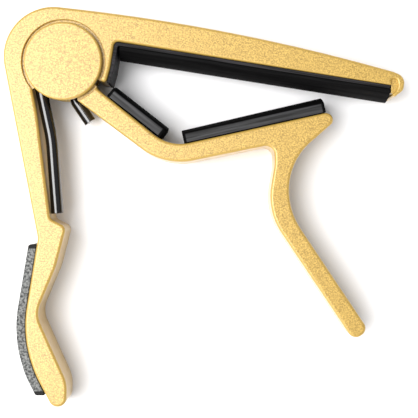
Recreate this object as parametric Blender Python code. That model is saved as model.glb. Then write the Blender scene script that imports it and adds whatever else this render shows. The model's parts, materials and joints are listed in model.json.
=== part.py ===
"""Trigger-action guitar capo, lying on its rear face.

Frame: +X runs along the string bar, +Y is up through the bar, +Z is the front of the capo.
The origin is on the hinge axis, in the plane of the rear faces. The hinge axis is +Z.
Outlines are in millimetres about the hinge axis. The objects are in metres.
"""
import math

import bmesh
import bpy
from mathutils import Matrix, Vector

MM = 0.001

# Arms
DEPTH = 12.0                 # both arms, front to back
EDGE_ROUND = 0.45            # rounding of the arms' outer edges
EDGE_STEPS = 3
ARC_SAGITTA = 0.03           # how far a chord may leave its arc
ARC_STEP = math.radians(15)  # largest turn of one chord

# Hinge, radii about its axis and heights above the rear face
SOCKET_R = 8.1
LEDGE_R = 7.3
LEDGE_TOP = 1.0
CHEEK_R = 8.0
BOSS_R = 7.1
REAR_CHEEK = (1.5, 2.8)
FRONT_CHEEK = (10.4, 11.2)
RECESS_R = 9.2               # round recess in both arms, in which the cap sits with a gap around it
RECESS_BOTTOM = 11.2
WEB_CLEARANCE_R = 8.45
HUB_R = 3.4
HUB_BOTTOM = 7.0
HUB_BORE_R = 3.6
SLEEVE_R = 4.8
SLEEVE = (2.9, 10.3)
CAP_R = 8.6
CAP_ROUND = 0.45
CAP = (11.42, 13.1)
FRONT_WASHER = (4.2, 7.9, 11.23, 11.38)   # inner radius, outer radius, bottom, top
REAR_WASHER = (7.35, 8.0, 1.08, 1.42)
ROUND_SIDES = 64

# Pin, from the rear into the cap's hub, with a countersunk head flush with the rear faces
PIN_R = 1.95
PIN_HEAD_R = 3.9
PIN_HEAD_H = 2.0
PIN_TOP = 9.9
PIN_BORE_R = 2.15
PIN_BORE_TOP = 10.5
COUNTERSINK_GAP = 0.25
PIN_SIDES = 32

# Spring, wound about the sleeve
WIRE_R = 1.35
WIRE_SIDES = 12
COIL_R = 6.4
LONG_LEG_Z = 8.95
SHORT_LEG_Z = 4.25
LONG_LEG_ANGLE = math.radians(-77.9)     # direction in which the long leg leaves the coil
LONG_LEG_BEND = (-2.90, -17.0)            # where the long leg bends along the handle
LONG_LEG_END = (-1.68, -33.45)
LONG_LEG_BEND_R = 30.0
SHORT_LEG_ANGLE = math.radians(-55.7)
SHORT_LEG_OFFSET = 2.92                   # from the hinge axis to the leg's line
SHORT_BEND_R = 2.1
SHORT_LEG_LENGTH = 5.1                    # straight part after the bend
COIL_TURNS_EXTRA = 1                      # full turns besides the part turn between the legs
SEAT_R = 1.5                              # groove in the arms around the wire

# Pads
PAD_Z = (0.3, 11.7)
CROWN_STEPS = 10
THUMB_PAD_Z = (0.5, 11.5)

# Outlines: corner x, corner y, corner radius, anticlockwise seen from the front
UPPER_ARM = [
    (11.25, 4.52, 1.0),        # corner between the bar's underside and the lip
    (71.75, -5.10, 0.5),       # end of the underside
    (71.70, -3.55, 0.8),       # relief behind the end hook
    (73.50, -3.75, 1.1),
    (73.75, -6.00, 2.0),
    (72.15, -7.75, 0.42),      # lip of the end hook
    (72.80, -8.35, 0.42),
    (74.95, -6.30, 1.6),
    (75.35, -3.35, 2.2),
    (72.65, -2.17, 3.0),
    (37.30, 7.50, 430.0),      # long crowned back of the bar
    (-15.90, 13.85, 11.0),     # round of the socket
    (-5.65, -38.90, 2.0),      # start of the thumb seat
    (-9.12, -60.50, 26.0),     # outward bend of the handle
    (-6.20, -69.00, 20.0),
    (0.35, -81.60, 2.0),       # rounded end of the handle
    (0.85, -70.90, 8.0),
    (-6.00, -55.60, 5.5),
    (-1.60, -45.20, 18.0),
    (0.65, -36.40, 1.5),       # shoulder below the spring
    (-2.90, -34.60, 1.3),
    (-5.75, -11.70, 30.0),
    (-6.90, -5.90, 0.5),       # lower end of the socket
    (5.00, -2.20, 0.5),
    (7.90, -4.05, 0.5),        # lower end of the lip
    (9.35, -4.75, 0.7),
    (10.30, -1.40, 6.0),
]
LOWER_ARM = [
    (3.00, -3.00, 0.5),
    (3.05, -8.55, 0.5),        # root, under the hinge
    (22.41, -23.10, 14.2),     # bend of the jaw, outer side
    (46.40, -18.17, 2.0),      # corner between the jaw and the trigger
    (46.62, -22.40, 10.0),
    (44.83, -32.95, 14.5),     # bend of the trigger
    (63.94, -61.48, 1.85),     # end of the trigger
    (67.30, -59.24, 1.85),
    (49.75, -32.98, 15.5),
    (49.75, -21.89, 14.0),
    (59.60, -13.29, 1.3),      # tip of the jaw
    (59.00, -11.02, 1.6),
    (23.44, -18.84, 9.5),      # bend of the jaw, inner side
    (7.60, -6.10, 1.0),
    (6.20, -3.60, 0.5),
]
LINER = [
    (9.60, -4.55, 0.1),
    (10.26, -4.70, 0.1),
    (11.12, -1.60, 5.0),
    (11.96, 3.57, 0.4),
    (71.95, -5.94, 0.1),
    (72.06, -5.26, 0.1),
    (11.34, 4.40, 0.9),
    (10.41, -1.45, 6.0),
]
THUMB_PAD = [
    (-6.20, -73.60, 0.6),
    (-4.11, -73.60, 0.2),
    (-6.33, -69.00, 20.0),
    (-9.25, -60.50, 26.0),
    (-5.98, -40.30, 0.2),
    (-7.75, -40.25, 0.6),
    (-11.13, -60.30, 28.0),
    (-8.50, -69.10, 20.0),
]
# Crowned pads: left and right end of the flat side, thickness at the front and rear edges,
# then thickness at mid depth at the left and the right end
STRING_PAD = ((12.45, 3.40), (72.15, -6.09), 0.5, 2.65, 2.65)
INNER_NECK_PAD = ((9.62, -7.50), (21.30, -16.63), 2.1, 2.9, 2.9)
OUTER_NECK_PAD = ((26.60, -17.97), (57.85, -11.15), 2.25, 3.15, 3.65)


# ---------------------------------------------------------------- scene and materials
def clear_scene():
    for obj in list(bpy.data.objects):
        bpy.data.objects.remove(obj, do_unlink=True)


def make_material(name, colour, roughness, metallic=0.0):
    material = bpy.data.materials.new(name)
    material.use_nodes = True
    shader = material.node_tree.nodes["Principled BSDF"]
    shader.inputs["Base Color"].default_value = (*colour, 1.0)
    shader.inputs["Roughness"].default_value = roughness
    shader.inputs["Metallic"].default_value = metallic
    return material


def add_object(name, bm, material, parent=None):
    """Turn a bmesh in millimetres into a named object in metres."""
    bmesh.ops.scale(bm, vec=(MM, MM, MM), verts=bm.verts)
    bmesh.ops.recalc_face_normals(bm, faces=bm.faces)
    mesh = bpy.data.meshes.new(name)
    bm.to_mesh(mesh)
    bm.free()
    mesh.shade_smooth()
    mesh.set_sharp_from_angle(angle=math.radians(35))
    if material is not None:
        mesh.materials.append(material)
    obj = bpy.data.objects.new(name, mesh)
    bpy.context.collection.objects.link(obj)
    obj.parent = parent
    return obj


def add_boolean(obj, cutter, operation):
    """Combine obj with a helper object, which stays in the file as a wire guide."""
    modifier = obj.modifiers.new(f"{operation.lower()}_{cutter.name}", "BOOLEAN")
    modifier.operation = operation
    modifier.solver = "EXACT"
    modifier.object = cutter
    cutter.display_type = "WIRE"
    cutter.hide_render = True


# ---------------------------------------------------------------- outlines and solids
def arc_steps(radius, turn):
    chord_turn = 2 * math.acos(max(1 - ARC_SAGITTA / radius, 0.0)) if radius > ARC_SAGITTA else ARC_STEP
    return max(2, math.ceil(abs(turn) / min(chord_turn, ARC_STEP)))


def round_corners(corners):
    """Points of a closed outline whose corners are rounded to their own radius."""
    points = []
    for index, (x, y, radius) in enumerate(corners):
        corner = Vector((x, y))
        before = (Vector(corners[index - 1][:2]) - corner).normalized()
        after = (Vector(corners[(index + 1) % len(corners)][:2]) - corner).normalized()
        half = before.angle(after) / 2
        centre = corner + (before + after).normalized() * (radius / math.sin(half))
        start = corner + before * (radius / math.tan(half)) - centre
        turn = start.angle_signed(corner + after * (radius / math.tan(half)) - centre)
        steps = arc_steps(radius, turn)
        for step in range(steps + 1):
            points.append(centre + Matrix.Rotation(-turn * step / steps, 2) @ start)
    return points


def inset_points(points, distance):
    """Move a closed anticlockwise outline inwards, keeping its sides parallel."""
    moved = []
    for index, point in enumerate(points):
        into = (point - points[index - 1]).normalized()
        out_of = (points[(index + 1) % len(points)] - point).normalized()
        inward = Vector((-into.y - out_of.y, into.x + out_of.x)).normalized()
        across = inward.dot(Vector((-into.y, into.x)))
        moved.append(point + inward * (distance / across))
    return moved


def skin(bm, rings, closed_ends=True):
    """Join rings of equal length with quads, and close the two ends."""
    loops = [[bm.verts.new(point) for point in ring] for ring in rings]
    count = len(loops[0])
    for lower, upper in zip(loops, loops[1:]):
        for index in range(count):
            after = (index + 1) % count
            bm.faces.new((lower[index], lower[after], upper[after], upper[index]))
    if closed_ends:
        bm.faces.new(list(reversed(loops[0])))
        bm.faces.new(loops[-1])
    return loops


def edge_levels(bottom, top, rounding):
    """Pairs of inset and height that round both edges of a slab."""
    if rounding == 0:
        return [(0.0, bottom), (0.0, top)]
    levels = []
    for step in range(EDGE_STEPS + 1):
        angle = step / EDGE_STEPS * math.pi / 2
        levels.append((rounding * (1 - math.sin(angle)), bottom + rounding * (1 - math.cos(angle))))
    upper = [(inset, top - (height - bottom)) for inset, height in reversed(levels)]
    return levels + upper


def slab(corners, bottom, top, rounding):
    """A flat piece with a rounded outline and rounded edges."""
    bm = bmesh.new()
    points = round_corners(corners)
    rings = []
    for inset, height in edge_levels(bottom, top, rounding):
        rings.append([(p.x, p.y, height) for p in inset_points(points, inset)])
    skin(bm, rings)
    return bm


def turned(profile, sides=ROUND_SIDES):
    """A solid turned about the hinge axis from (radius, height) points, from bottom to top."""
    bm = bmesh.new()
    rings = []
    for radius, height in profile:
        ring = []
        for side in range(sides):
            angle = side / sides * math.tau
            ring.append((radius * math.cos(angle), radius * math.sin(angle), height))
        rings.append(ring)
    skin(bm, rings)
    return bm


def turned_ring(profile, sides=ROUND_SIDES):
    """A turned piece with a hole: its (radius, height) profile is a closed loop."""
    bm = bmesh.new()
    stations = []
    for side in range(sides):
        angle = side / sides * math.tau
        stations.append([(r * math.cos(angle), r * math.sin(angle), z) for r, z in profile])
    skin(bm, stations + stations[:1], closed_ends=False)
    bmesh.ops.remove_doubles(bm, verts=bm.verts, dist=1e-6)
    return bm


def flat_ring(inner, outer, bottom, top):
    return turned_ring([(inner, bottom), (outer, bottom), (outer, top), (inner, top)])


def swept_wire(path, radius, sides=WIRE_SIDES):
    """A round wire along a path of 3-D points."""
    bm = bmesh.new()
    rings = []
    across = Vector((0, 0, 1))
    for index, point in enumerate(path):
        tangent = (path[min(index + 1, len(path) - 1)] - path[max(index - 1, 0)]).normalized()
        side_axis = tangent.cross(across).normalized()
        up_axis = side_axis.cross(tangent)
        ring = []
        for side in range(sides):
            angle = side / sides * math.tau
            ring.append(point + radius * (math.cos(angle) * side_axis + math.sin(angle) * up_axis))
        rings.append(ring)
    skin(bm, rings)
    return bm


# ---------------------------------------------------------------- spring path
def long_leg_points():
    """From the free end of the long leg up to where it meets the coil."""
    heading = Vector((math.cos(LONG_LEG_ANGLE), math.sin(LONG_LEG_ANGLE)))
    meet = Vector((heading.y, -heading.x)) * COIL_R
    bend = Vector(LONG_LEG_BEND)
    bend = meet + heading * (bend - meet).dot(heading)
    end = Vector(LONG_LEG_END)
    reach = LONG_LEG_BEND_R * math.tan(heading.angle(end - bend) / 2)
    start_side = bend + (end - bend).normalized() * reach
    coil_side = bend - heading * reach
    points = [end]
    for step in range(5):
        t = step / 4
        points.append(start_side.lerp(bend, t).lerp(bend.lerp(coil_side, t), t))
    return [Vector((p.x, p.y, LONG_LEG_Z)) for p in points], meet


def short_leg_points():
    """The bend out of the coil and the short straight leg, and the angle where the coil ends."""
    leg_left = SHORT_LEG_ANGLE + math.pi / 2
    spread = math.acos((SHORT_BEND_R - SHORT_LEG_OFFSET) / (COIL_R + SHORT_BEND_R))
    coil_end = leg_left - spread
    centre = (COIL_R + SHORT_BEND_R) * Vector((math.cos(coil_end), math.sin(coil_end)))
    turn_start = coil_end + math.pi
    turn_end = SHORT_LEG_ANGLE - math.pi / 2 + math.tau
    points = []
    steps = 7
    for step in range(1, steps + 1):
        angle = turn_start + (turn_end - turn_start) * step / steps
        points.append(centre + SHORT_BEND_R * Vector((math.cos(angle), math.sin(angle))))
    heading = Vector((math.cos(SHORT_LEG_ANGLE), math.sin(SHORT_LEG_ANGLE)))
    points.append(points[-1] + heading * SHORT_LEG_LENGTH)
    return [Vector((p.x, p.y, SHORT_LEG_Z)) for p in points], coil_end


# ---------------------------------------------------------------- arms
def make_leg_seats():
    """Helpers that cut a groove around each leg of the spring."""
    leg, meet = long_leg_points()
    beyond = leg[0] + (leg[0] - leg[1]).normalized() * 0.3
    long_path = [beyond] + leg[1:] + [Vector((meet.x, meet.y, LONG_LEG_Z))]
    short_path = short_leg_points()[0]
    long_seat = add_object("long_leg_seat_cutter", swept_wire(long_path, SEAT_R), None)
    short_seat = add_object("short_leg_seat_cutter", swept_wire(short_path, SEAT_R), None)
    return long_seat, short_seat


def make_upper_arm(gold, long_seat):
    arm = add_object("upper_arm", slab(UPPER_ARM, 0.0, DEPTH, EDGE_ROUND), gold)
    socket = turned([
        (LEDGE_R, -1.0),
        (LEDGE_R, LEDGE_TOP),
        (SOCKET_R, LEDGE_TOP),
        (SOCKET_R, RECESS_BOTTOM),
        (RECESS_R, RECESS_BOTTOM),
        (RECESS_R, DEPTH + 1.0),
    ])
    add_boolean(arm, add_object("socket_cutter", socket, None), "DIFFERENCE")
    add_boolean(arm, long_seat, "DIFFERENCE")


def make_lower_arm(gold, short_seat, hinge):
    """The jaw and trigger, whose two round cheeks turn in the socket of the upper arm."""
    arm = add_object("lower_arm", slab(LOWER_ARM, 0.0, DEPTH, EDGE_ROUND), gold, hinge)
    rear_bottom, rear_top = REAR_CHEEK
    front_bottom, front_top = FRONT_CHEEK
    helpers = [
        ("spring_room", "DIFFERENCE", [(WEB_CLEARANCE_R, rear_top), (WEB_CLEARANCE_R, front_bottom)]),
        ("ledge_room", "DIFFERENCE", [(WEB_CLEARANCE_R, -1.0), (WEB_CLEARANCE_R, rear_bottom)]),
        ("cap_recess", "DIFFERENCE", [(RECESS_R, RECESS_BOTTOM), (RECESS_R, DEPTH + 1.0)]),
        ("front_cheek", "UNION", [(CHEEK_R, front_bottom), (CHEEK_R, front_top)]),
        ("rear_cheek", "UNION", [
            (BOSS_R, 0.0),
            (BOSS_R, rear_bottom),
            (CHEEK_R, rear_bottom),
            (CHEEK_R, rear_top),
        ]),
        ("hub_bore", "DIFFERENCE", [(HUB_BORE_R, HUB_BOTTOM), (HUB_BORE_R, DEPTH + 1.0)]),
        ("pin_bore", "DIFFERENCE", [
            (PIN_HEAD_R + COUNTERSINK_GAP, -1.0),
            (PIN_HEAD_R + COUNTERSINK_GAP, 0.0),
            (PIN_BORE_R, PIN_HEAD_H),
            (PIN_BORE_R, HUB_BOTTOM),
        ]),
    ]
    for name, operation, profile in helpers:
        add_boolean(arm, add_object(f"{name}_helper", turned(profile), None), operation)
    add_boolean(arm, short_seat, "DIFFERENCE")


# ---------------------------------------------------------------- hinge
def make_pivot_cap(gold, hinge):
    """A round cover in the arms' recess, with a hub that reaches down into the sleeve and takes the pin."""
    bottom, top = CAP
    profile = [
        (PIN_BORE_R, PIN_BORE_TOP),
        (PIN_BORE_R, HUB_BOTTOM),
        (HUB_R, HUB_BOTTOM),
        (HUB_R, bottom),
        (CAP_R, bottom),
    ]
    steps = 5
    for step in range(steps + 1):
        angle = step / steps * math.pi / 2
        radius = CAP_R - CAP_ROUND + CAP_ROUND * math.cos(angle)
        profile.append((radius, top - CAP_ROUND + CAP_ROUND * math.sin(angle)))
    add_object("pivot_cap", turned(profile), gold, hinge)


def make_pivot_pin(steel, hinge):
    profile = [(PIN_HEAD_R, 0.0), (PIN_R, PIN_HEAD_H), (PIN_R, PIN_TOP)]
    add_object("pivot_pin", turned(profile, PIN_SIDES), steel, hinge)


def make_hinge_rings(steel, nylon, hinge):
    add_object("spring_sleeve", flat_ring(HUB_BORE_R, SLEEVE_R, *SLEEVE), steel, hinge)
    add_object("front_thrust_washer", flat_ring(*FRONT_WASHER), nylon, hinge)
    add_object("rear_thrust_washer", flat_ring(*REAR_WASHER), nylon, hinge)


def make_torsion_spring(black_steel):
    leg, meet = long_leg_points()
    short_leg, coil_end = short_leg_points()
    start = math.atan2(meet.y, meet.x) % math.tau
    sweep = (start - coil_end) % math.tau + COIL_TURNS_EXTRA * math.tau
    steps = math.ceil(sweep / ARC_STEP)
    coil = []
    for step in range(steps + 1):
        angle = start - sweep * step / steps
        height = LONG_LEG_Z + (SHORT_LEG_Z - LONG_LEG_Z) * step / steps
        coil.append(Vector((COIL_R * math.cos(angle), COIL_R * math.sin(angle), height)))
    add_object("torsion_spring", swept_wire(leg + coil + short_leg, WIRE_R), black_steel)


# ---------------------------------------------------------------- pads
def make_crowned_pad(name, shape, side, rubber, parent=None):
    """A strip that is flat against its metal and crowned on the other side, which is side +1 or -1."""
    start, end, edge, crown_start, crown_end = shape
    start, end = Vector(start), Vector(end)
    along = (end - start).normalized()
    outward = side * Vector((-along.y, along.x))
    low, high = PAD_Z
    rings = []
    for place, crown in ((start, crown_start), (end, crown_end)):
        ring = [(place.x, place.y, low)]
        for step in range(CROWN_STEPS + 1):
            across = 2 * step / CROWN_STEPS - 1
            point = place + outward * (edge + (crown - edge) * (1 - across ** 2))
            ring.append((point.x, point.y, low + (high - low) * step / CROWN_STEPS))
        ring.append((place.x, place.y, high))
        rings.append(ring)
    bm = bmesh.new()
    skin(bm, rings)
    add_object(name, bm, rubber, parent)


def make_pads(rubber, foam, hinge):
    make_crowned_pad("string_pad", STRING_PAD, -1, rubber)
    make_crowned_pad("inner_neck_pad", INNER_NECK_PAD, 1, rubber, hinge)
    make_crowned_pad("outer_neck_pad", OUTER_NECK_PAD, 1, rubber, hinge)
    add_object("string_pad_liner", slab(LINER, *PAD_Z, 0.0), rubber)
    add_object("thumb_pad", slab(THUMB_PAD, *THUMB_PAD_Z, 0.0), foam)


def main():
    clear_scene()
    gold = make_material("gold_aluminium", (0.80, 0.60, 0.26), 0.38, 0.75)
    steel = make_material("steel", (0.55, 0.55, 0.56), 0.3, 1.0)
    black_steel = make_material("black_spring_steel", (0.02, 0.02, 0.022), 0.25, 0.6)
    nylon = make_material("nylon", (0.05, 0.05, 0.05), 0.5)
    rubber = make_material("black_rubber", (0.03, 0.03, 0.032), 0.6)
    foam = make_material("speckled_grip_rubber", (0.07, 0.075, 0.08), 0.85)

    hinge = bpy.data.objects.new("hinge_axis", None)
    bpy.context.collection.objects.link(hinge)

    long_seat, short_seat = make_leg_seats()
    make_upper_arm(gold, long_seat)
    make_lower_arm(gold, short_seat, hinge)
    make_pivot_cap(gold, hinge)
    make_pivot_pin(steel, hinge)
    make_hinge_rings(steel, nylon, hinge)
    make_torsion_spring(black_steel)
    make_pads(rubber, foam, hinge)


main()
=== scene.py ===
"""Looks of the trigger-action guitar capo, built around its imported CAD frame.

The capo lies on its rear face: +X runs along the string bar, +Y is up through the bar, +Z is the front.
Outlines and heights are in millimetres, about the hinge axis and above the rear face. The arms' depth and
the pads' heights come from the frame. Objects are in metres.
"""

import json
import math

import bmesh
import bpy
from mathutils import Matrix, Vector

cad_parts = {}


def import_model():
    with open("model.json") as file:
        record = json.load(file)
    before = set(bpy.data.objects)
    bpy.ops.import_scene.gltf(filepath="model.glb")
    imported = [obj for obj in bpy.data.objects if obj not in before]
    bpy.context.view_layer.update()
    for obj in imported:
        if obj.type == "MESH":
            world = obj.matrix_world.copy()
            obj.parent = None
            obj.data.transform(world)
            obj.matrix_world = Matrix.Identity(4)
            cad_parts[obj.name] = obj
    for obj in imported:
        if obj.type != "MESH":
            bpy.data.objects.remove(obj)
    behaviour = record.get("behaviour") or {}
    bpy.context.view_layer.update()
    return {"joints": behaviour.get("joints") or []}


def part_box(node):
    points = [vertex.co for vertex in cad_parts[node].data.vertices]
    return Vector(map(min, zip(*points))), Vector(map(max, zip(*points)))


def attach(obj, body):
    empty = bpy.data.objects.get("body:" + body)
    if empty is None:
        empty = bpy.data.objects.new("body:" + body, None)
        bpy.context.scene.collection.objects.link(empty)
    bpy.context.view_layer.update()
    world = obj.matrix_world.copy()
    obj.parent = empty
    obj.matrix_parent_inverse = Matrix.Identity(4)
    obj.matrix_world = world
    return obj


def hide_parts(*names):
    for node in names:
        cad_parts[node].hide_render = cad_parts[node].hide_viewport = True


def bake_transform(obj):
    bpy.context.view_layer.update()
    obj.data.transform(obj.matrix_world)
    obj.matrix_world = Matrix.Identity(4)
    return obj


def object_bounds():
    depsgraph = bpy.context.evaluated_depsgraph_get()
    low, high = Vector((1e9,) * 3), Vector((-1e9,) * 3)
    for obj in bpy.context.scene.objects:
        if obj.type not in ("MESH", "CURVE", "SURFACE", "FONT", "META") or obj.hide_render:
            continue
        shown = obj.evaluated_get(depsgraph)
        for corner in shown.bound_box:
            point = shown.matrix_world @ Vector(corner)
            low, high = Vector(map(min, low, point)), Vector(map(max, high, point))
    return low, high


MM = 0.001

BAR_BODY = "bar_and_handle"
JAW_BODY = "jaw_and_trigger"

# Fineness of curved surfaces
ARC_SAGITTA = 0.004
ARC_STEP = math.radians(5)
ROUND_SIDES = 160
SHARP_ANGLE = math.radians(35)

# Rounding of the arms' front and rear edges
EDGE_ROUND = 0.6
EDGE_STEPS = 7
THIN_REACH = 0.42            # how far the rounding may reach in on the thin end hook
CONVEX_SHARE = 0.85          # and on a tight outer corner, as a share of its radius
FACE_RING_SHARE = 1.12       # ring just inside the rounding, which keeps the flat face's shading flat

# Hinge, radii about its axis and heights above the rear face
SOCKET_R = 8.1
LEDGE_R = 7.3
LEDGE_TOP = 1.0
CHEEK_R = 8.0
BOSS_R = 7.1
REAR_CHEEK = (1.5, 2.8)
FRONT_CHEEK = (10.4, 11.2)
RECESS_R = 9.2               # round recess in both arms, in which the cap sits with a gap around it
RECESS_BOTTOM = 11.2
RECESS_EDGE = 0.15           # small bevel around the recess's mouth
WEB_CLEARANCE_R = 8.45
HUB_BORE_R = 3.6
HUB_R = 3.4
HUB_BOTTOM = 7.0
PIN_BORE_R = 2.15
PIN_BORE_TOP = 10.5
PIN_R = 1.95
PIN_HEAD_R = 3.9
PIN_HEAD_H = 2.0
COUNTERSINK_GAP = 0.25
PIN_CHAMFER = 0.12
SLEEVE_BORE_R = 3.6
FRONT_WASHER_BORE_R = 4.2
REAR_WASHER_BORE_R = 7.35
RING_CHAMFER = 0.15
CAP_LIFT = 0.04                # gap between the front washer and the cap
CAP_UNDERCUT = 0.1             # how much narrower the cap is at its underside
CAP_ROUND = 0.5
CAP_ROUND_STEPS = 10
REAR_CHAMFER = 0.25

# Spring
WIRE_R = 1.35
WIRE_SIDES = 32
WIRE_END_ROUND = 0.08
COIL_R = 6.4
LONG_LEG_Z = 8.95
SHORT_LEG_Z = 4.25
LONG_LEG_ANGLE = math.radians(-77.9)
LONG_LEG_BEND = (-2.90, -17.0)
LONG_LEG_END = (-1.68, -33.45)
LONG_LEG_BEND_R = 30.0
SHORT_LEG_ANGLE = math.radians(-55.7)
SHORT_LEG_OFFSET = 2.92
SHORT_BEND_R = 2.1
SHORT_LEG_LENGTH = 5.1
COIL_TURNS_EXTRA = 1
COIL_STEP = math.radians(4)
SEAT_R = 1.5
SEAT_OVERRUN = 0.3             # how far the long leg's groove goes on past the wire's end

# Outlines: corner x, corner y, corner radius, anticlockwise seen from the front
UPPER_ARM = [
    (11.25, 4.52, 1.0),        # corner between the bar's underside and the lip
    (72.25, -5.18, 0.25),      # end of the underside
    (72.30, -3.85, 0.45),      # relief behind the end hook
    (73.50, -3.75, 0.7),
    (73.75, -6.00, 2.0),
    (72.32, -7.25, 0.38),      # lip of the end hook
    (72.93, -7.83, 0.38),
    (74.95, -6.30, 1.6),
    (75.35, -3.35, 2.2),
    (72.65, -2.17, 3.0),
    (37.30, 7.50, 430.0),      # long crowned back of the bar
    (-15.90, 13.85, 11.0),     # round of the socket
    (-5.65, -38.90, 2.0),      # start of the thumb seat
    (-9.12, -60.50, 26.0),     # outward bend of the handle
    (-6.20, -69.00, 20.0),
    (0.35, -81.60, 2.0),       # rounded end of the handle
    (0.85, -70.90, 8.0),
    (-6.00, -55.60, 5.5),
    (-1.60, -45.20, 18.0),
    (0.65, -36.40, 1.5),       # shoulder below the spring
    (-2.90, -34.60, 1.3),
    (-5.75, -11.70, 30.0),
    (-6.90, -5.90, 0.5),       # lower end of the socket
    (5.00, -2.20, 0.5),
    (7.90, -4.05, 0.5),        # lower end of the lip
    (9.35, -4.75, 0.7),
    (10.30, -1.40, 6.0),
]
HOOK_CORNERS = range(1, 9)
HOOK_WEB = [                   # web that fills the relief behind the hook, a step below the front face
    (72.22, -6.85, 0.08),
    (72.75, -7.10, 0.08),
    (74.20, -6.00, 0.1),
    (74.00, -3.40, 0.1),
    (71.60, -3.30, 0.1),
    (71.55, -4.90, 0.1),
    (72.30, -5.05, 0.08),
]
HOOK_WEB_STEP = 0.7
HOOK_WEB_ROUND = 0.05
LOWER_ARM = [
    (3.00, -3.00, 0.5),
    (3.05, -8.55, 0.5),        # root, under the hinge
    (22.41, -23.10, 14.2),     # bend of the jaw, outer side
    (46.40, -18.17, 2.0),      # corner between the jaw and the trigger
    (46.62, -22.40, 10.0),
    (44.83, -32.95, 14.5),     # bend of the trigger
    (63.94, -61.48, 1.85),     # end of the trigger
    (67.30, -59.24, 1.85),
    (49.75, -32.98, 15.5),
    (49.75, -21.89, 14.0),
    (59.60, -13.29, 1.3),      # tip of the jaw
    (59.00, -11.02, 1.6),
    (23.44, -18.84, 9.5),      # bend of the jaw, inner side
    (7.60, -6.10, 1.0),
    (6.20, -3.60, 0.5),
]
LINER = [
    (9.60, -4.55, 0.1),
    (10.26, -4.70, 0.1),
    (11.12, -1.60, 5.0),
    (11.96, 3.57, 0.4),
    (71.95, -5.94, 0.1),
    (72.06, -5.26, 0.1),
    (11.34, 4.40, 0.9),
    (10.41, -1.45, 6.0),
]
THUMB_PAD = [
    (-6.20, -73.60, 0.6),
    (-4.11, -73.60, 0.2),
    (-6.33, -69.00, 20.0),
    (-9.25, -60.50, 26.0),
    (-5.98, -40.30, 0.2),
    (-7.75, -40.25, 0.6),
    (-11.13, -60.30, 28.0),
    (-8.50, -69.10, 20.0),
]

# Crowned pads: left and right end of the flat side, thickness at the front and rear edges, thickness
# at mid depth at the left and the right end, and the rounding of the long edges
STRING_PAD = {
    "start": (12.45, 3.40), "end": (72.15, -6.09), "side": -1,
    "edge": 0.85, "crown": (2.65, 2.65), "arris": 0.45,
}
INNER_NECK_PAD = {
    "start": (9.62, -7.50), "end": (21.30, -16.63), "side": 1,
    "edge": 2.1, "crown": (2.9, 2.9), "arris": 0.65,
}
OUTER_NECK_PAD = {
    "start": (26.60, -17.97), "end": (57.85, -11.15), "side": 1,
    "edge": 2.25, "crown": (3.15, 3.65), "arris": 0.65,
}
PAD_END_ROUND = 0.15
PAD_FOOT_ROUND = 0.12          # edges where a pad meets the metal
PAD_SHARP_ANGLE = math.radians(60)
LINER_ROUND = 0.08
THUMB_PAD_ROUND = 0.17
RIDGE_SHARE = 0.85             # share of each sloping side that the rounded ridge takes up
PAD_STATION = 0.8              # length of one step along a pad
GRIP_END = 0.0011              # black band at each end of the thumb pad, in metres
GRIP_END_FADE = 0.00025
PAD_CORNER_STEPS = 10
PAD_SHADE_RIM = 0.0006               # painted shade at each end of a neck pad, in metres
PAD_SHADE_RIM_FADE = 0.0001

# Rubbers: lighter tone, darker tone, specular level and roughness
DEEP_BLACK = ((0.006, 0.0058, 0.006), (0.003, 0.0029, 0.003), 0.05, 0.75)
LINER_BLACK = ((0.022, 0.020, 0.022), (0.004, 0.0036, 0.004), 0.2, 0.6)
SOFT_BLACK = ((0.034, 0.034, 0.036), (0.003, 0.003, 0.003), 0.3, 0.42)

# Light: a round softbox up and to the left of the capo, and a glow of the studio from the lower left
SOFTBOX_OFFSET = (-0.34, 0.02, 0.73)
SOFTBOX_SIZE = 0.58
SOFTBOX_POWER = 7.8
GLOW_TOWARDS = (-0.75, -0.6, 0.25)
GLOW = 0.9
GLOW_REACH = (0.1, 0.95)       # cosine to the glow's middle where it starts and where it is full
FILL_HEIGHTS = (0.1, 0.65)     # height of the fill's fade, as the z of a direction
FILL = (0.08, 0.75)            # strength below and above that fade
GLOSSY_SHARE = 0.4             # how much of the studio's fill shows in reflections
BACKDROP = 0.92

# Floor, in metres
FLOOR_HALF = 2.0
FLOOR_DROP = 0.00002           # keeps the floor just clear of the capo's rear face

# Camera over the middle of the capo, looking straight down
CAMERA_XY = (32.08, -32.47)
CAMERA_HEIGHT = 273.0
FIELD_AT_FRONT = 91.96         # width of the view at the arms' front faces
SENSOR = 36.0


# ---------------------------------------------------------------- outlines and solids, in millimetres
def arc_steps(radius, turn):
    chord_turn = 2 * math.acos(max(1 - ARC_SAGITTA / radius, 0.0))
    return max(3, math.ceil(abs(turn) / min(chord_turn, ARC_STEP)))


def round_corners(corners, rounding=0.0, thin_corners=(), fixed_steps=None):
    """Points of a closed outline with rounded corners, and how far an edge rounding may reach in at each."""
    points = []
    reaches = []
    for index, (x, y, radius) in enumerate(corners):
        corner = Vector((x, y))
        before = (Vector(corners[index - 1][:2]) - corner).normalized()
        after = (Vector(corners[(index + 1) % len(corners)][:2]) - corner).normalized()
        convex = before.x * after.y - before.y * after.x < 0
        half = before.angle(after) / 2
        centre = corner + (before + after).normalized() * (radius / math.sin(half))
        start = corner + before * (radius / math.tan(half)) - centre
        turn = start.angle_signed(corner + after * (radius / math.tan(half)) - centre)
        reach = min(rounding, CONVEX_SHARE * radius) if convex else rounding
        if index in thin_corners:
            reach = min(reach, THIN_REACH)
        steps = fixed_steps or arc_steps(radius, turn)
        for step in range(steps + 1):
            points.append(centre + Matrix.Rotation(-turn * step / steps, 2) @ start)
            reaches.append(reach)
    return points, reaches


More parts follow.
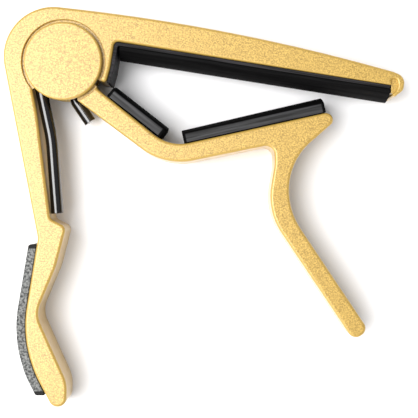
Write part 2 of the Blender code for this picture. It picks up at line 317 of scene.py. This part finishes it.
def inset_points(points, distances):
    """Move each point of a closed anticlockwise outline inwards, square to the outline."""
    moved = []
    for index, point in enumerate(points):
        into = (point - points[index - 1]).normalized()
        out_of = (points[(index + 1) % len(points)] - point).normalized()
        inward = Vector((-into.y - out_of.y, into.x + out_of.x)).normalized()
        across = inward.dot(Vector((-into.y, into.x)))
        moved.append(point + inward * (distances[index] / across))
    return moved


def skin(bm, rings, closed_ends=True):
    """Join rings of equal length with quads, and close the two ends."""
    loops = [[bm.verts.new(point) for point in ring] for ring in rings]
    count = len(loops[0])
    for lower, upper in zip(loops, loops[1:]):
        for index in range(count):
            after = (index + 1) % count
            bm.faces.new((lower[index], lower[after], upper[after], upper[index]))
    if closed_ends:
        bm.faces.new(list(reversed(loops[0])))
        bm.faces.new(loops[-1])
    return loops


def quarter_round(steps):
    """Pairs of share inwards and share upwards along a quarter of a circle, from its foot."""
    pairs = []
    for step in range(steps + 1):
        angle = step / steps * math.pi / 2
        pairs.append((1 - math.sin(angle), 1 - math.cos(angle)))
    return pairs


def slab(corners, bottom, top, rounding, steps=EDGE_STEPS, thin_corners=()):
    """A flat piece with a rounded outline and rounded front and rear edges."""
    bm = bmesh.new()
    points, reaches = round_corners(corners, rounding, thin_corners)
    levels = [(share, bottom + rounding * up) for share, up in quarter_round(steps)]
    levels.insert(0, (FACE_RING_SHARE, bottom))
    levels += [(share, top + bottom - height) for share, height in reversed(levels)]
    rings = []
    for share, height in levels:
        inset = inset_points(points, [share * reach for reach in reaches])
        rings.append([(p.x, p.y, height) for p in inset])
    skin(bm, rings)
    return bm


def turned(profile, sides=ROUND_SIDES):
    """A solid turned about the hinge axis from (radius, height) points, from bottom to top."""
    bm = bmesh.new()
    rings = []
    for radius, height in profile:
        ring = []
        for side in range(sides):
            angle = side / sides * math.tau
            ring.append((radius * math.cos(angle), radius * math.sin(angle), height))
        rings.append(ring)
    skin(bm, rings)
    return bm


def turned_ring(profile, sides=ROUND_SIDES):
    """A turned piece with a hole: its (radius, height) profile is a closed loop."""
    bm = bmesh.new()
    stations = []
    for side in range(sides):
        angle = side / sides * math.tau
        stations.append([(r * math.cos(angle), r * math.sin(angle), z) for r, z in profile])
    skin(bm, stations + stations[:1], closed_ends=False)
    bmesh.ops.remove_doubles(bm, verts=bm.verts, dist=1e-6)
    return bm


def swept_wire(path, radii, sides=WIRE_SIDES):
    """A round wire along a path of 3-D points, with a radius at each."""
    bm = bmesh.new()
    rings = []
    across = Vector((0, 0, 1))
    for index, point in enumerate(path):
        tangent = (path[min(index + 1, len(path) - 1)] - path[max(index - 1, 0)]).normalized()
        side_axis = tangent.cross(across).normalized()
        up_axis = side_axis.cross(tangent)
        ring = []
        for side in range(sides):
            angle = side / sides * math.tau
            spoke = math.cos(angle) * side_axis + math.sin(angle) * up_axis
            ring.append(point + radii[index] * spoke)
        rings.append(ring)
    skin(bm, rings)
    return bm


# ---------------------------------------------------------------- objects
def place(name, bm, hinge):
    """Turn a bmesh in millimetres about the hinge axis into an object in metres in the frame."""
    bmesh.ops.scale(bm, vec=(MM, MM, MM), verts=bm.verts)
    bmesh.ops.translate(bm, vec=(hinge.x, hinge.y, 0), verts=bm.verts)
    bmesh.ops.recalc_face_normals(bm, faces=bm.faces)
    if bm.calc_volume(signed=True) < 0:
        bmesh.ops.reverse_faces(bm, faces=bm.faces)
    mesh = bpy.data.meshes.new(name)
    bm.to_mesh(mesh)
    bm.free()
    obj = bpy.data.objects.new(name, mesh)
    bpy.context.scene.collection.objects.link(obj)
    return obj


def combine(obj, cutters):
    """Apply (operation, helper object) steps to obj, and remove the helpers."""
    for operation, cutter in cutters:
        modifier = obj.modifiers.new(operation.lower(), "BOOLEAN")
        modifier.operation = operation
        modifier.solver = "EXACT"
        modifier.object = cutter
    apply_modifiers(obj)
    for _, cutter in cutters:
        bpy.data.objects.remove(cutter, do_unlink=True)


def apply_modifiers(obj):
    graph = bpy.context.evaluated_depsgraph_get()
    mesh = bpy.data.meshes.new_from_object(obj.evaluated_get(graph), depsgraph=graph)
    obj.modifiers.clear()
    obj.data = mesh


def shade(obj, sharp=SHARP_ANGLE):
    """Smooth shading that keeps flat faces flat and sharp edges sharp."""
    obj.data.shade_smooth()
    obj.data.set_sharp_from_angle(angle=sharp)
    weighted = obj.modifiers.new("flat_faces", "WEIGHTED_NORMAL")
    weighted.keep_sharp = True
    weighted.weight = 80
    apply_modifiers(obj)


def finish_piece(obj, material, body, slot_name, *nodes):
    obj.data.materials.clear()
    obj.data.materials.append(material)
    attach(obj, body)
    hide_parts(*nodes)


# ---------------------------------------------------------------- spring path
def long_leg_points():
    """From the free end of the long leg up to where it meets the coil."""
    heading = Vector((math.cos(LONG_LEG_ANGLE), math.sin(LONG_LEG_ANGLE)))
    meet = Vector((heading.y, -heading.x)) * COIL_R
    bend = Vector(LONG_LEG_BEND)
    bend = meet + heading * (bend - meet).dot(heading)
    end = Vector(LONG_LEG_END)
    reach = LONG_LEG_BEND_R * math.tan(heading.angle(end - bend) / 2)
    start_side = bend + (end - bend).normalized() * reach
    coil_side = bend - heading * reach
    points = [end]
    steps = 12
    for step in range(steps + 1):
        t = step / steps
        points.append(start_side.lerp(bend, t).lerp(bend.lerp(coil_side, t), t))
    return [Vector((p.x, p.y, LONG_LEG_Z)) for p in points], meet


def short_leg_points():
    """The bend out of the coil and the short straight leg, and the angle where the coil ends."""
    leg_left = SHORT_LEG_ANGLE + math.pi / 2
    spread = math.acos((SHORT_BEND_R - SHORT_LEG_OFFSET) / (COIL_R + SHORT_BEND_R))
    coil_end = leg_left - spread
    centre = (COIL_R + SHORT_BEND_R) * Vector((math.cos(coil_end), math.sin(coil_end)))
    turn_start = coil_end + math.pi
    turn_end = SHORT_LEG_ANGLE - math.pi / 2 + math.tau
    points = []
    steps = 24
    for step in range(1, steps + 1):
        angle = turn_start + (turn_end - turn_start) * step / steps
        points.append(centre + SHORT_BEND_R * Vector((math.cos(angle), math.sin(angle))))
    heading = Vector((math.cos(SHORT_LEG_ANGLE), math.sin(SHORT_LEG_ANGLE)))
    points.append(points[-1] + heading * SHORT_LEG_LENGTH)
    return [Vector((p.x, p.y, SHORT_LEG_Z)) for p in points], coil_end


def coil_points(meet, coil_end):
    start = math.atan2(meet.y, meet.x) % math.tau
    sweep = (start - coil_end) % math.tau + COIL_TURNS_EXTRA * math.tau
    steps = math.ceil(sweep / COIL_STEP)
    points = []
    for step in range(steps + 1):
        angle = start - sweep * step / steps
        height = LONG_LEG_Z + (SHORT_LEG_Z - LONG_LEG_Z) * step / steps
        points.append(Vector((COIL_R * math.cos(angle), COIL_R * math.sin(angle), height)))
    return points


def rounded_ends(path):
    """Add the rings that round a wire's two cut ends, and give the radius at every point."""
    rings = []
    for share, up in quarter_round(4):
        rings.append((WIRE_END_ROUND * up, WIRE_R - WIRE_END_ROUND * share))
    first = (path[1] - path[0]).normalized()
    last = (path[-2] - path[-1]).normalized()
    head = [path[0] + first * along for along, _ in rings]
    tail = [path[-1] + last * along for along, _ in reversed(rings)]
    radii = [r for _, r in rings] + [WIRE_R] * (len(path) - 2) + [r for _, r in reversed(rings)]
    return head + path[1:-1] + tail, radii


# ---------------------------------------------------------------- arms and hinge
def leg_seats(hinge):
    """Helpers that cut a groove around each leg of the spring."""
    leg, meet = long_leg_points()
    beyond = leg[0] + (leg[0] - leg[1]).normalized() * SEAT_OVERRUN
    long_path = [beyond] + leg[1:] + [Vector((meet.x, meet.y, LONG_LEG_Z))]
    short_path = short_leg_points()[0]
    long_seat = place("long_seat", swept_wire(long_path, [SEAT_R] * len(long_path)), hinge)
    short_seat = place("short_seat", swept_wire(short_path, [SEAT_R] * len(short_path)), hinge)
    return long_seat, short_seat


def make_upper_arm(hinge, depth, long_seat, gold):
    bm = slab(UPPER_ARM, 0.0, depth, EDGE_ROUND, thin_corners=HOOK_CORNERS)
    arm = place("upper_arm_fine", bm, hinge)
    socket = turned([
        (LEDGE_R + 2 * REAR_CHAMFER, -REAR_CHAMFER),
        (LEDGE_R, REAR_CHAMFER),
        (LEDGE_R, LEDGE_TOP),
        (SOCKET_R, LEDGE_TOP),
        (SOCKET_R, RECESS_BOTTOM),
        (RECESS_R, RECESS_BOTTOM),
        (RECESS_R, depth - RECESS_EDGE),
        (RECESS_R + 2 * RECESS_EDGE, depth + RECESS_EDGE),
    ])
    web = place("hook_web", slab(HOOK_WEB, EDGE_ROUND, depth - HOOK_WEB_STEP, HOOK_WEB_ROUND, 2), hinge)
    combine(arm, [
        ("DIFFERENCE", place("socket", socket, hinge)),
        ("DIFFERENCE", long_seat),
        ("UNION", web),
    ])
    shade(arm)
    finish_piece(arm, gold, BAR_BODY, "gold_finish", "upper_arm")


def make_lower_arm(hinge, depth, short_seat, gold):
    """The jaw and trigger, whose two round cheeks turn in the socket of the upper arm."""
    arm = place("lower_arm_fine", slab(LOWER_ARM, 0.0, depth, EDGE_ROUND), hinge)
    rear_bottom, rear_top = REAR_CHEEK
    head_bore_r = PIN_HEAD_R + COUNTERSINK_GAP
    helpers = [
        ("DIFFERENCE", [(WEB_CLEARANCE_R, rear_top), (WEB_CLEARANCE_R, FRONT_CHEEK[0])]),
        ("DIFFERENCE", [(WEB_CLEARANCE_R, -1.0), (WEB_CLEARANCE_R, rear_bottom)]),
        ("DIFFERENCE", [
            (RECESS_R, RECESS_BOTTOM),
            (RECESS_R, depth - RECESS_EDGE),
            (RECESS_R + 2 * RECESS_EDGE, depth + RECESS_EDGE),
        ]),
        ("UNION", [(CHEEK_R, FRONT_CHEEK[0]), (CHEEK_R, FRONT_CHEEK[1])]),
        ("UNION", [
            (BOSS_R - REAR_CHAMFER, 0.0),
            (BOSS_R, REAR_CHAMFER),
            (BOSS_R, rear_bottom),
            (CHEEK_R, rear_bottom),
            (CHEEK_R, rear_top),
        ]),
        ("DIFFERENCE", [(HUB_BORE_R, HUB_BOTTOM), (HUB_BORE_R, depth + 1.0)]),
        ("DIFFERENCE", [
            (head_bore_r, -1.0),
            (head_bore_r, 0.0),
            (PIN_BORE_R, PIN_HEAD_H),
            (PIN_BORE_R, HUB_BOTTOM),
        ]),
    ]
    cutters = [(operation, place("helper", turned(profile), hinge)) for operation, profile in helpers]
    combine(arm, cutters + [("DIFFERENCE", short_seat)])
    shade(arm)
    finish_piece(arm, gold, JAW_BODY, "gold_finish", "lower_arm")


def make_pivot_cap(hinge, gold):
    """A round cover with a softly rounded rim, and the hub that takes the pin."""
    low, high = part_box("pivot_cap")
    top = high.z / MM
    radius = (high.x - low.x) / 2 / MM
    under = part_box("front_thrust_washer")[1].z / MM + CAP_LIFT
    profile = [
        (PIN_BORE_R, PIN_BORE_TOP),
        (PIN_BORE_R, HUB_BOTTOM),
        (HUB_R, HUB_BOTTOM),
        (HUB_R, under),
        (radius - CAP_UNDERCUT, under),
    ]
    for share, up in quarter_round(CAP_ROUND_STEPS):
        inward = CAP_ROUND * (1 - share)
        profile.append((radius - CAP_ROUND * up, top - CAP_ROUND + inward))
    cap = place("pivot_cap_fine", turned(profile), hinge)
    shade(cap)
    finish_piece(cap, gold, JAW_BODY, "gold_finish", "pivot_cap")


def make_pivot_pin(hinge, steel):
    """A countersunk pin, its head flush with the rear face and chamfered at its tip."""
    low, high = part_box("pivot_pin")
    top = high.z / MM
    profile = [
        (PIN_HEAD_R - PIN_CHAMFER, low.z / MM),
        (PIN_HEAD_R, low.z / MM + PIN_CHAMFER),
        (PIN_R, PIN_HEAD_H),
        (PIN_R, top - PIN_CHAMFER),
        (PIN_R - PIN_CHAMFER, top),
    ]
    pin = place("pivot_pin_fine", turned(profile), hinge)
    shade(pin)
    finish_piece(pin, steel, JAW_BODY, "pivot_steel", "pivot_pin")


def make_hinge_ring(hinge, node, inner, material, slot_name):
    """A sleeve or washer with small chamfers, in the place of its CAD node."""
    low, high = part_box(node)
    bottom, top = low.z / MM, high.z / MM
    outer = (high.x - low.x) / 2 / MM
    bevel = min(RING_CHAMFER, (top - bottom) / 4)
    profile = [
        (inner, bottom),
        (outer - bevel, bottom),
        (outer, bottom + bevel),
        (outer, top - bevel),
        (outer - bevel, top),
        (inner, top),
    ]
    ring = place(node + "_fine", turned_ring(profile), hinge)
    shade(ring)
    finish_piece(ring, material, JAW_BODY, slot_name, node)


def make_spring(hinge, black_steel):
    leg, meet = long_leg_points()
    short_leg, coil_end = short_leg_points()
    coil = coil_points(meet, coil_end)
    path, radii = rounded_ends(leg + coil + short_leg)
    spring = place("torsion_spring_fine", swept_wire(path, radii), hinge)
    shade(spring)
    spring.data.materials.append(black_steel)
    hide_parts("torsion_spring")
    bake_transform(spring)
    wind_evenly(path, len(leg), len(short_leg))


def wind_evenly(path, leg_count, short_count):
    """Works out a weight for each ring of the wire: 0 along the long leg, rising evenly along the coil to 1
    on the short leg; the weights are not used.
    """
    coil_count = len(path) - leg_count - short_count
    weights = []
    for index in range(len(path)):
        share = min(max((index - leg_count) / coil_count, 0.0), 1.0)
        weights += [share] * WIRE_SIDES


# ---------------------------------------------------------------- pads
def pad_profile(shape, crown, low, high):
    """Cross-section of a crowned pad as (height off the metal, z), anticlockwise, with rounded edges."""
    edge = shape["edge"]
    half_width = (high - low) / 2
    apex = edge + (crown - edge) / (1 - RIDGE_SHARE / 2)
    slope = math.atan2(apex - edge, half_width)
    corners = [
        (0.0, high, PAD_FOOT_ROUND),
        (0.0, low, PAD_FOOT_ROUND),
        (edge, low, shape["arris"]),
        (apex, low + half_width, RIDGE_SHARE * half_width / math.sin(slope)),
        (edge, high, shape["arris"]),
    ]
    return round_corners(corners, fixed_steps=PAD_CORNER_STEPS)[0]


def make_crowned_pad(node, shape, hinge, body, rubber):
    """A strip that is flat against its metal and crowned on the other side, with soft edges and ends."""
    low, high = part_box(node)
    start, end = Vector(shape["start"]), Vector(shape["end"])
    along = (end - start).normalized()
    length = (end - start).length
    outward = shape["side"] * Vector((-along.y, along.x))
    ends = [(PAD_END_ROUND * up, PAD_END_ROUND * share) for share, up in quarter_round(4)]
    span = length - 2 * PAD_END_ROUND
    middle = math.ceil(span / PAD_STATION)
    stations = ends + [(PAD_END_ROUND + span * step / middle, 0.0) for step in range(1, middle)]
    stations += [(length - s, inset) for s, inset in reversed(ends)]
    rings = []
    for travel, inset in stations:
        share = travel / length
        crown = shape["crown"][0] * (1 - share) + shape["crown"][1] * share
        profile = pad_profile(shape, crown, low.z / MM, high.z / MM)
        foot = start + along * travel
        ring = []
        for point in inset_points(profile, [inset] * len(profile)):
            spot = foot + outward * point.x
            ring.append((spot.x, spot.y, point.y))
        rings.append(ring)
    bm = bmesh.new()
    skin(bm, rings)
    pad = place(node + "_fine", bm, hinge)
    shade(pad, PAD_SHARP_ANGLE)
    finish_piece(pad, rubber, body, "black_rubber", node)


def make_liner(hinge, rubber):
    low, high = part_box("string_pad_liner")
    liner = place("string_pad_liner_fine", slab(LINER, low.z / MM, high.z / MM, LINER_ROUND, 3), hinge)
    shade(liner)
    finish_piece(liner, rubber, BAR_BODY, "black_rubber", "string_pad_liner")


def make_thumb_pad(hinge, foam):
    low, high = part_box("thumb_pad")
    pad = place("thumb_pad_fine", slab(THUMB_PAD, low.z / MM, high.z / MM, THUMB_PAD_ROUND, 4), hinge)
    shade(pad)
    finish_piece(pad, foam, BAR_BODY, "grip_rubber", "thumb_pad")


# ---------------------------------------------------------------- materials
class Nodes:
    """Short ways to add and link shader nodes of one material."""

    def __init__(self, name):
        self.material = bpy.data.materials.new(name)
        self.material.use_nodes = True
        self.tree = self.material.node_tree
        self.shader = self.tree.nodes["Principled BSDF"]
        self.place = self.add("ShaderNodeTexCoord").outputs["Object"]

    def add(self, kind, **inputs):
        node = self.tree.nodes.new(kind)
        for key, value in inputs.items():
            node.inputs[key.replace("_", " ")].default_value = value
        return node

    def link(self, source, target):
        self.tree.links.new(source, target)

    def noise(self, scale, detail=3.0, roughness=0.55, vector=None):
        node = self.add("ShaderNodeTexNoise", Scale=scale, Detail=detail, Roughness=roughness)
        self.link(vector or self.place, node.inputs["Vector"])
        return node.outputs["Fac"]

    def stretch(self, angle, along, across):
        """Object coordinates turned so that x runs along a strip, then scaled along and across it."""
        turn = self.add("ShaderNodeMapping", Rotation=(0, 0, -angle))
        self.link(self.place, turn.inputs["Vector"])
        scale = self.add("ShaderNodeMapping", Scale=(along, across, across))
        self.link(turn.outputs["Vector"], scale.inputs["Vector"])
        return scale.outputs["Vector"]

    def span(self, value, low, high, to_low, to_high):
        node = self.add("ShaderNodeMapRange")
        node.clamp = True
        for key, amount in (("From Min", low), ("From Max", high), ("To Min", to_low), ("To Max", to_high)):
            node.inputs[key].default_value = amount
        self.link(value, node.inputs["Value"])
        return node.outputs["Result"]

    def mix(self, factor, dark, light):
        node = self.add("ShaderNodeMix")
        node.data_type = "RGBA"
        self.link(factor, node.inputs["Factor"])
        for socket, colour in ((node.inputs[6], dark), (node.inputs[7], light)):
            if isinstance(colour, tuple):
                socket.default_value = (*colour, 1.0)
            else:
                self.link(colour, socket)
        return node.outputs[2]

    def bump(self, height, distance, strength=1.0, normal=None):
        node = self.add("ShaderNodeBump", Strength=strength, Distance=distance)
        self.link(height, node.inputs["Height"])
        if normal is not None:
            self.link(normal, node.inputs["Normal"])
        return node.outputs["Normal"]

    def slopes(self):
        """0 on faces that look straight to the front or rear, 1 on rounded edges and walls."""
        geometry = self.add("ShaderNodeNewGeometry")
        split = self.add("ShaderNodeSeparateXYZ")
        self.link(geometry.outputs["Normal"], split.inputs["Vector"])
        height = self.add("ShaderNodeMath")
        height.operation = "ABSOLUTE"
        self.link(split.outputs["Z"], height.inputs[0])
        return self.span(height.outputs["Value"], 0.9, 0.99, 1.0, 0.0)

    def component(self, vector, axis):
        split = self.add("ShaderNodeSeparateXYZ")
        self.link(vector, split.inputs["Vector"])
        return split.outputs[axis]

    def larger(self, first, second):
        node = self.add("ShaderNodeMath")
        node.operation = "MAXIMUM"
        self.link(first, node.inputs[0])
        self.link(second, node.inputs[1])
        return node.outputs["Value"]

    def surface(self, colour, roughness, normal, **values):
        self.link(colour, self.shader.inputs["Base Color"])
        self.link(roughness, self.shader.inputs["Roughness"])
        self.link(normal, self.shader.inputs["Normal"])
        for key, value in values.items():
            self.shader.inputs[key.replace("_", " ")].default_value = value
        return self.material


def satin_gold():
    """Satin metallic gold finish: fine sparkling grain, soft mottling, and a painted highlight on rounded
    edges and walls.
    """
    n = Nodes("satin_gold")
    grain = n.noise(3100, 3.0, 0.6)
    mottle = n.noise(800, 2.0)
    colour = n.mix(n.span(grain, 0.38, 0.62, 0, 1), (0.27, 0.160, 0.019), (0.63, 0.41, 0.084))
    colour = n.mix(n.span(mottle, 0.35, 0.65, 0.0, 0.4), colour, (0.49, 0.308, 0.058))
    slopes = n.slopes()
    # painted highlight: rounded edges and side walls get a lighter gold that stands in for the light they
    # catch
    colour = n.mix(slopes, colour, (0.54, 0.345, 0.068))
    roughness = n.span(grain, 0.3, 0.7, 0.56, 0.44)
    fine = n.noise(5200, 2.0)
    normal = n.bump(fine, 0.00001, 0.5, n.bump(grain, 0.00002, 0.5))
    return n.surface(colour, roughness, normal, Metallic=0.3, Coat_Weight=1.0, Coat_Roughness=0.3)


def black_wire():
    """Glossy black spring wire with faint drawing marks."""
    n = Nodes("black_spring_wire")
    marks = n.noise(900, 3.0)
    colour = n.mix(marks, (0.002, 0.002, 0.002), (0.006, 0.006, 0.007))
    roughness = n.span(marks, 0.3, 0.7, 0.10, 0.18)
    return n.surface(colour, roughness, n.bump(marks, 0.000004, 0.4), Coat_Weight=0.6, Coat_Roughness=0.08)


def black_rubber(name, shape, tone, ends=None):
    """Extruded rubber strip: streaks along it, a fine matt tooth, and painted shade on its rounded edges,
    walls and ends if its ends are given.
    """
    face, shadow, gloss, roughness = tone
    n = Nodes(name)
    streaks = n.noise(1.0, 4.0, 0.6, n.stretch(angle_of(shape), 70, 1700))
    tooth = n.noise(6000, 3.0)
    colour = n.mix(n.span(streaks, 0.38, 0.62, 0, 1), shadow, face)
    finish = n.span(streaks, 0.3, 0.7, roughness + 0.12, roughness - 0.12)
    normal = n.bump(tooth, 0.000008, 0.4, n.bump(streaks, 0.00005, 0.5))
    if ends:
        travel = n.component(n.stretch(angle_of(shape), 1, 1), "X")
        near = n.span(travel, ends[0] + PAD_SHADE_RIM, ends[0] + PAD_SHADE_RIM + PAD_SHADE_RIM_FADE, 1, 0)
        far = n.span(travel, ends[1] - PAD_SHADE_RIM - PAD_SHADE_RIM_FADE, ends[1] - PAD_SHADE_RIM, 0, 1)
        # painted shade: rounded edges, walls and the last bit of each end go near-black, duller and almost
        # without gloss
        shade_rim = n.larger(n.slopes(), n.larger(near, far))
        colour = n.mix(shade_rim, colour, (0.003, 0.003, 0.003))
        finish = n.larger(finish, n.span(shade_rim, 0, 1, 0, 0.85))
        n.link(n.span(shade_rim, 0, 1, gloss, 0.02), n.shader.inputs["Specular IOR Level"])
    return n.surface(colour, finish, normal, Specular_IOR_Level=gloss)


def grip_foam():
    """Cellular grip rubber: grey crumbs and dark pores, and a black band at each end."""
    n = Nodes("cellular_grip_rubber")
    crumbs = n.noise(2100, 3.0, 0.6)
    pores = n.add("ShaderNodeTexVoronoi", Scale=1500)
    n.link(n.place, pores.inputs["Vector"])
    colour = n.mix(n.span(crumbs, 0.38, 0.62, 0, 1), (0.035, 0.037, 0.037), (0.24, 0.243, 0.235))
    colour = n.mix(n.span(pores.outputs["Distance"], 0.0, 0.35, 0.8, 0.0), colour, (0.03, 0.032, 0.034))
    low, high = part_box("thumb_pad")
    lower_end = n.span(n.component(n.place, "Y"), low.y + GRIP_END - GRIP_END_FADE, low.y + GRIP_END, 1, 0)
    upper_end = n.span(n.component(n.place, "Y"), high.y - GRIP_END, high.y - GRIP_END + GRIP_END_FADE, 0, 1)
    colour = n.mix(lower_end, colour, (0.006, 0.006, 0.006))
    colour = n.mix(upper_end, colour, (0.006, 0.006, 0.006))
    roughness = n.span(crumbs, 0.3, 0.7, 0.9, 0.75)
    normal = n.bump(pores.outputs["Distance"], 0.00012, 0.5, n.bump(crumbs, 0.0001, 0.6))
    return n.surface(colour, roughness, normal)


def machined_steel():
    """Turned steel with rings about the hinge axis."""
    n = Nodes("turned_steel")
    rings = n.add("ShaderNodeTexWave", Scale=2500, Distortion=1.5, Detail=2.0)
    rings.wave_type = "RINGS"
    rings.rings_direction = "Z"
    n.link(n.place, rings.inputs["Vector"])
    speckle = n.noise(3000, 3.0)
    colour = n.mix(speckle, (0.46, 0.46, 0.47), (0.62, 0.62, 0.63))
    roughness = n.span(rings.outputs["Fac"], 0, 1, 0.24, 0.38)
    return n.surface(colour, roughness, n.bump(rings.outputs["Fac"], 0.000006, 0.5), Metallic=1.0)


def black_nylon():
    n = Nodes("black_nylon")
    speckle = n.noise(3500, 3.0)
    colour = n.mix(speckle, (0.02, 0.02, 0.022), (0.05, 0.05, 0.052))
    return n.surface(colour, n.span(speckle, 0.3, 0.7, 0.42, 0.6), n.bump(speckle, 0.00001, 0.4))


# ---------------------------------------------------------------- stage, light and camera
def make_floor():
    bm = bmesh.new()
    bmesh.ops.create_grid(bm, x_segments=2, y_segments=2, size=FLOOR_HALF)
    mesh = bpy.data.meshes.new("floor")
    bm.to_mesh(mesh)
    bm.free()
    floor = bpy.data.objects.new("floor", mesh)
    floor.location.z = -FLOOR_DROP
    bpy.context.scene.collection.objects.link(floor)
    material = bpy.data.materials.new("pale_floor")
    material.use_nodes = True
    shader = material.node_tree.nodes["Principled BSDF"]
    shader.inputs["Base Color"].default_value = (0.9, 0.895, 0.9, 1.0)
    shader.inputs["Roughness"].default_value = 0.7
    shader.inputs["Specular IOR Level"].default_value = 0.2
    mesh.materials.append(material)


def make_softbox(target):
    data = bpy.data.lights.new("softbox", "AREA")
    data.shape = "DISK"
    data.size = SOFTBOX_SIZE
    data.energy = SOFTBOX_POWER
    light = bpy.data.objects.new("softbox", data)
    light.location = target + Vector(SOFTBOX_OFFSET)
    light.rotation_euler = (target - light.location).to_track_quat("-Z", "Y").to_euler()
    bpy.context.scene.collection.objects.link(light)


def map_range(tree, value, source, target, smooth=False):
    """Map a value from one (low, high) pair to another."""
    node = tree.nodes.new("ShaderNodeMapRange")
    if smooth:
        node.interpolation_type = "SMOOTHSTEP"
    for key, amount in zip(("From Min", "From Max", "To Min", "To Max"), (*source, *target)):
        node.inputs[key].default_value = amount
    tree.links.new(value, node.inputs["Value"])
    return node.outputs["Result"]


def studio_fill(tree, glossy):
    """Strength of the studio: a fill from overhead, dimmed in reflections, and a glow from one side."""
    spot = tree.nodes.new("ShaderNodeTexCoord").outputs["Generated"]
    split = tree.nodes.new("ShaderNodeSeparateXYZ")
    tree.links.new(spot, split.inputs["Vector"])
    overhead = map_range(tree, split.outputs["Z"], FILL_HEIGHTS, FILL, smooth=True)
    facing = tree.nodes.new("ShaderNodeVectorMath")
    facing.operation = "DOT_PRODUCT"
    facing.inputs[1].default_value = Vector(GLOW_TOWARDS).normalized()
    tree.links.new(spot, facing.inputs[0])
    glow = map_range(tree, facing.outputs["Value"], GLOW_REACH, (0.0, GLOW), smooth=True)
    total = tree.nodes.new("ShaderNodeMath")
    total.operation = "MULTIPLY_ADD"
    tree.links.new(overhead, total.inputs[0])
    tree.links.new(map_range(tree, glossy, (0.0, 1.0), (1.0, GLOSSY_SHARE)), total.inputs[1])
    tree.links.new(glow, total.inputs[2])
    return total.outputs["Value"]


def make_world():
    """A dim studio: brighter overhead and towards the lower left, dark behind the upper right."""
    world = bpy.data.worlds.new("studio")
    bpy.context.scene.world = world
    world.use_nodes = True
    tree = world.node_tree
    path = tree.nodes.new("ShaderNodeLightPath")
    mix = tree.nodes.new("ShaderNodeMix")
    mix.data_type = "FLOAT"
    tree.links.new(path.outputs["Is Camera Ray"], mix.inputs[0])
    tree.links.new(studio_fill(tree, path.outputs["Is Glossy Ray"]), mix.inputs[2])
    mix.inputs[3].default_value = BACKDROP
    background = tree.nodes["Background"]
    tree.links.new(mix.outputs[0], background.inputs["Strength"])
    background.inputs["Color"].default_value = (1.0, 1.0, 1.0, 1.0)


def make_camera():
    data = bpy.data.cameras.new("camera")
    data.sensor_width = SENSOR
    distance = CAMERA_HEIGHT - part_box("upper_arm")[1].z / MM
    data.lens = SENSOR * distance / FIELD_AT_FRONT
    data.clip_start = 0.01
    data.clip_end = 10.0
    camera = bpy.data.objects.new("camera", data)
    camera.location = (CAMERA_XY[0] * MM, CAMERA_XY[1] * MM, CAMERA_HEIGHT * MM)
    bpy.context.scene.collection.objects.link(camera)
    bpy.context.scene.camera = camera


def make_studio(centre):
    make_floor()
    make_world()
    make_softbox(centre)
    bpy.context.scene.view_settings.view_transform = "Standard"
    make_camera()


# ---------------------------------------------------------------- the capo
def angle_of(shape):
    (x0, y0), (x1, y1) = shape["start"], shape["end"]
    return math.atan2(y1 - y0, x1 - x0)


def reach_of(shape, hinge):
    """Where a strip starts and ends along its own direction, in metres."""
    angle = angle_of(shape)
    spots = [hinge.xy + MM * Vector(shape[key]) for key in ("start", "end")]
    return [spot.x * math.cos(angle) + spot.y * math.sin(angle) for spot in spots]


def make_metal_parts(hinge, depth):
    gold = satin_gold()
    steel = machined_steel()
    nylon = black_nylon()
    long_seat, short_seat = leg_seats(hinge)
    make_upper_arm(hinge, depth, long_seat, gold)
    make_lower_arm(hinge, depth, short_seat, gold)
    make_pivot_cap(hinge, gold)
    make_pivot_pin(hinge, steel)
    make_hinge_ring(hinge, "spring_sleeve", SLEEVE_BORE_R, steel, "pivot_steel")
    make_hinge_ring(hinge, "front_thrust_washer", FRONT_WASHER_BORE_R, nylon, "nylon")
    make_hinge_ring(hinge, "rear_thrust_washer", REAR_WASHER_BORE_R, nylon, "nylon")
    make_spring(hinge, black_wire())


def make_rubber_parts(hinge):
    string_rubber = black_rubber("string_pad_rubber", STRING_PAD, DEEP_BLACK)
    liner_rubber = black_rubber("liner_rubber", STRING_PAD, LINER_BLACK)
    inner_ends = reach_of(INNER_NECK_PAD, hinge)
    outer_ends = reach_of(OUTER_NECK_PAD, hinge)
    inner_rubber = black_rubber("inner_pad_rubber", INNER_NECK_PAD, SOFT_BLACK, inner_ends)
    outer_rubber = black_rubber("outer_pad_rubber", OUTER_NECK_PAD, SOFT_BLACK, outer_ends)
    make_crowned_pad("string_pad", STRING_PAD, hinge, BAR_BODY, string_rubber)
    make_crowned_pad("inner_neck_pad", INNER_NECK_PAD, hinge, JAW_BODY, inner_rubber)
    make_crowned_pad("outer_neck_pad", OUTER_NECK_PAD, hinge, JAW_BODY, outer_rubber)
    make_liner(hinge, liner_rubber)
    make_thumb_pad(hinge, grip_foam())


def main():
    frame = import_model()
    hinge = Vector(frame["joints"][0]["pos_m"])
    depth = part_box("upper_arm")[1].z / MM
    make_metal_parts(hinge, depth)
    make_rubber_parts(hinge)
    low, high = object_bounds()
    make_studio((low + high) / 2)


main()
